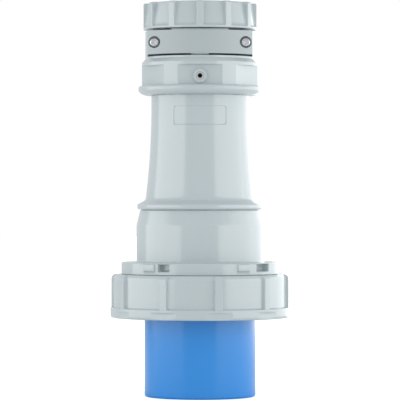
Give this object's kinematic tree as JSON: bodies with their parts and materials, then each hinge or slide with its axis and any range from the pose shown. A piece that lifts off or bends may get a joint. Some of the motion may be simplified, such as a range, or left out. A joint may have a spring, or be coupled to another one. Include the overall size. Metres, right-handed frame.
{
  "type": "industrial pin and sleeve plug",
  "caption": "Watertight industrial pin and sleeve plug with a blue contact sleeve, a bayonet locking ring, a flared grey handle and a cable gland with a screw clamp.",
  "frame": {"origin": "centre of the sleeve's mouth, on the plane that the plug stands on", "axes": "+Z along the plug from the sleeve's mouth to the cable gland, -Y towards the clamp screws and the label recess, +Y towards the earth pin and the polarising key"},
  "size_m": [0.1146, 0.1146, 0.2512],
  "materials": {
    "housing_grey": "satin",
    "clamp_grey": "matt",
    "sleeve_blue": "satin",
    "carrier_black": "matt",
    "seal_rubber": "matt",
    "contact_brass": "turned",
    "screw_steel": "zinc plated",
    "zinc_steel": "zinc plated"
  },
  "bodies": {
    "plug_body": {"pin_sleeve": "sleeve_blue", "contact_carrier": "carrier_black", "pin_line": "contact_brass", "pin_neutral": "contact_brass", "pin_earth": "contact_brass", "pin_pilot": "contact_brass", "terminal_screw_line": "screw_steel", "terminal_screw_neutral": "screw_steel", "terminal_screw_earth": "screw_steel", "terminal_screw_pilot": "screw_steel", "carrier_screw_left": "screw_steel", "carrier_screw_right": "screw_steel", "face_gasket": "seal_rubber", "ring_retainer": "zinc_steel", "front_housing": "housing_grey", "handle_oring": "seal_rubber", "handle": "housing_grey", "gland_oring": "seal_rubber", "gland_body": "housing_grey", "lock_screw": "screw_steel", "clamp_nut_left": "zinc_steel", "clamp_nut_right": "zinc_steel", "cable_seal": "seal_rubber"},
    "ring": {"bayonet_ring": "housing_grey"},
    "washer": {"thrust_washer": "zinc_steel"},
    "nut": {"gland_nut": "housing_grey"},
    "saddle": {"clamp_saddle": "clamp_grey"},
    "screw_left": {"clamp_screw_left": "screw_steel"},
    "screw_right": {"clamp_screw_right": "screw_steel"}
  },
  "joints": [
    {"name": "ring_turn", "type": "hinge", "parent": "plug_body", "child": "ring", "pos_m": [0, 0, 0.0763], "axis": [0, 0, 1], "continuous": true},
    {"name": "washer_slide", "type": "slide", "parent": "plug_body", "child": "washer", "axis": [0, 0, 1], "range_m": [-0.0006, 0.006]},
    {"name": "nut_turn", "type": "hinge", "parent": "washer", "child": "nut", "pos_m": [0, 0, 0.24], "axis": [0, 0, 1], "range_deg": [-72, 720]},
    {"name": "clamp_slide", "type": "slide", "parent": "plug_body", "child": "saddle", "axis": [0, 1, 0], "range_m": [0, 0.0049]},
    {"name": "clamp_screw_left_turn", "type": "hinge", "parent": "saddle", "child": "screw_left", "pos_m": [-0.0289, -0.0195, 0.22535], "axis": [0, 1, 0], "range_deg": [0, 2940]},
    {"name": "clamp_screw_right_turn", "type": "hinge", "parent": "saddle", "child": "screw_right", "pos_m": [0.0289, -0.0195, 0.22535], "axis": [0, 1, 0], "range_deg": [0, 2940]}
  ],
  "couplings": [
    {"joint": "washer_slide", "follows": "nut_turn", "m_per_rad": 0.00047746},
    {"joint": "clamp_screw_left_turn", "follows": "clamp_slide", "rad_per_m": 10470},
    {"joint": "clamp_screw_right_turn", "follows": "clamp_slide", "rad_per_m": 10470}
  ]
}
